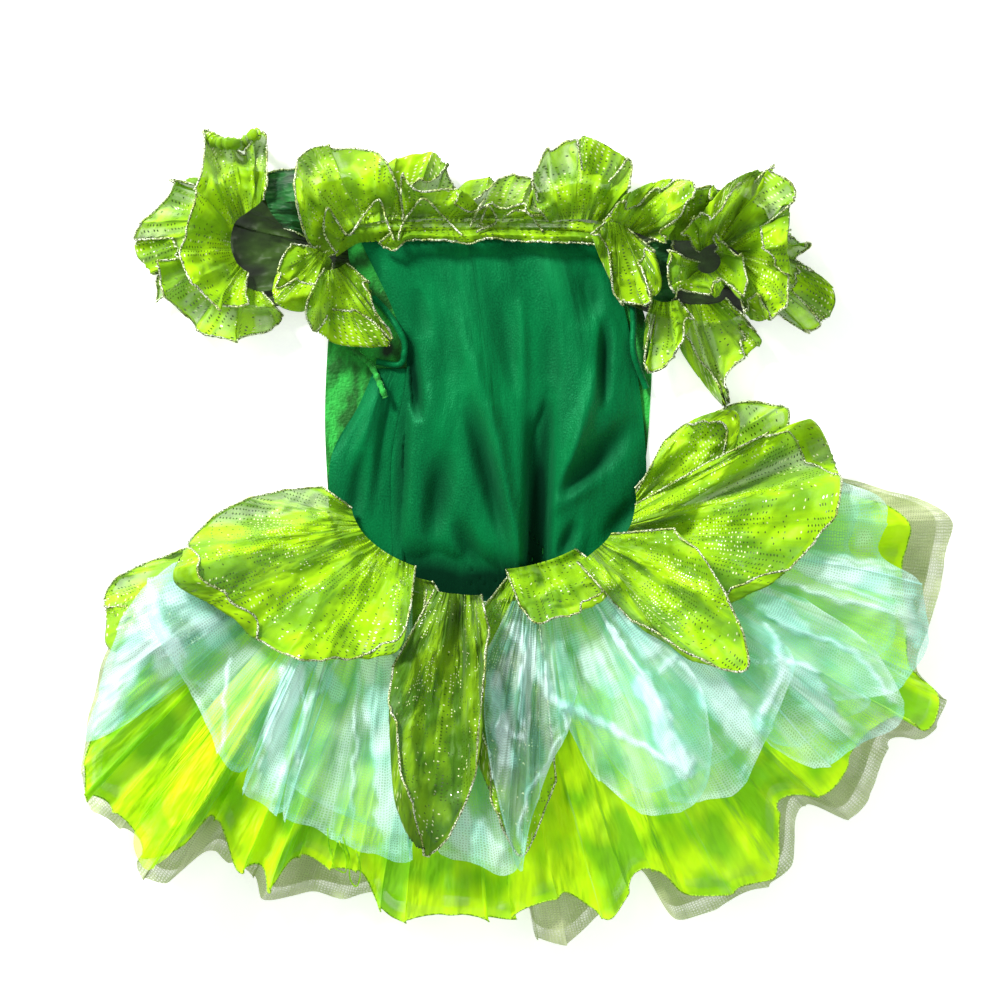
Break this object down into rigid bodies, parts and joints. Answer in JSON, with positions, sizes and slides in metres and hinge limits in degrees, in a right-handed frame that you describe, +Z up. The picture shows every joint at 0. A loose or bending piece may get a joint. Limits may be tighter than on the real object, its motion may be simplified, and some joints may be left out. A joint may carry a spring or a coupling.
{
  "type": "baby fairy costume dress",
  "caption": "Baby's fairy costume dress laid out flat on its front: stretch bodice, ruffled neck and sleeves, and a short skirt of sheer layers under leaf-shaped petals.",
  "frame": {"origin": "centre of the bounding box on the surface that the dress lies on", "axes": "+Z up from the surface, +Y towards the neck, +X to the right of the dress as it is seen from above, with its back up"},
  "size_m": [0.5912, 0.5535, 0.0775],
  "materials": {
    "velvet": "crushed pile, bright green",
    "satin": "satin-faced stretch knit, dark green",
    "net": "sheer sage net",
    "organza": "sheer yellow-lime organza",
    "aqua_tulle": "sheer aqua tulle",
    "glitter_organza": "sheer lime organza with rows of glitter and metallic rolled edges"
  },
  "bodies": {
    "root": {"bodice_front": "velvet", "bodice_side": "satin", "bodice_back": "satin", "armhole_binding_left": "satin", "armhole_binding_right": "satin", "sleeve_left_band": "satin", "sleeve_right_band": "satin", "net_front": "net", "net_back": "net", "organza_front": "organza", "organza_back": "organza", "organza_roll": "organza", "tulle_under": "aqua_tulle", "tulle_centre": "aqua_tulle", "tulle_left_end": "aqua_tulle", "tulle_left_mint": "aqua_tulle", "tulle_left_front": "aqua_tulle", "tulle_left_fold": "aqua_tulle", "tulle_right_end": "aqua_tulle", "tulle_right_side": "aqua_tulle", "tulle_right_front": "aqua_tulle", "tulle_right_lobe": "aqua_tulle", "tulle_right_swirl": "aqua_tulle", "neck_front_frill": "glitter_organza", "petal_far_left": "glitter_organza", "petal_left_back": "glitter_organza", "petal_centre_back": "glitter_organza", "petal_right_long": "glitter_organza", "petal_centre": "glitter_organza", "petal_right_small": "glitter_organza", "petal_right_rear": "glitter_organza", "petal_right_upper": "glitter_organza", "petal_right_big": "glitter_organza", "petal_right_crescent": "glitter_organza", "petal_left_big": "glitter_organza", "sleeve_left_cap": "glitter_organza", "sleeve_left_ruffle_rear": "glitter_organza", "sleeve_left_ruffle_lower": "glitter_organza", "sleeve_left_ruffle_front": "glitter_organza", "sleeve_right_cap": "glitter_organza", "sleeve_right_net": "glitter_organza", "sleeve_right_leaf": "glitter_organza", "sleeve_right_tail": "glitter_organza", "sleeve_right_leaf_inner": "glitter_organza", "sleeve_right_ruffle_upper": "glitter_organza", "sleeve_right_ruffle_front": "glitter_organza", "neck_casing": "glitter_organza", "neck_flap_left": "glitter_organza", "neck_frill_middle": "glitter_organza", "neck_flap_right": "glitter_organza", "neck_flap_right_end": "glitter_organza", "neck_frill_lower": "glitter_organza", "neck_flap_down_right": "glitter_organza", "neck_flap_down_left": "glitter_organza", "neck_leaf_down_left": "glitter_organza"}
  },
  "joints": []
}
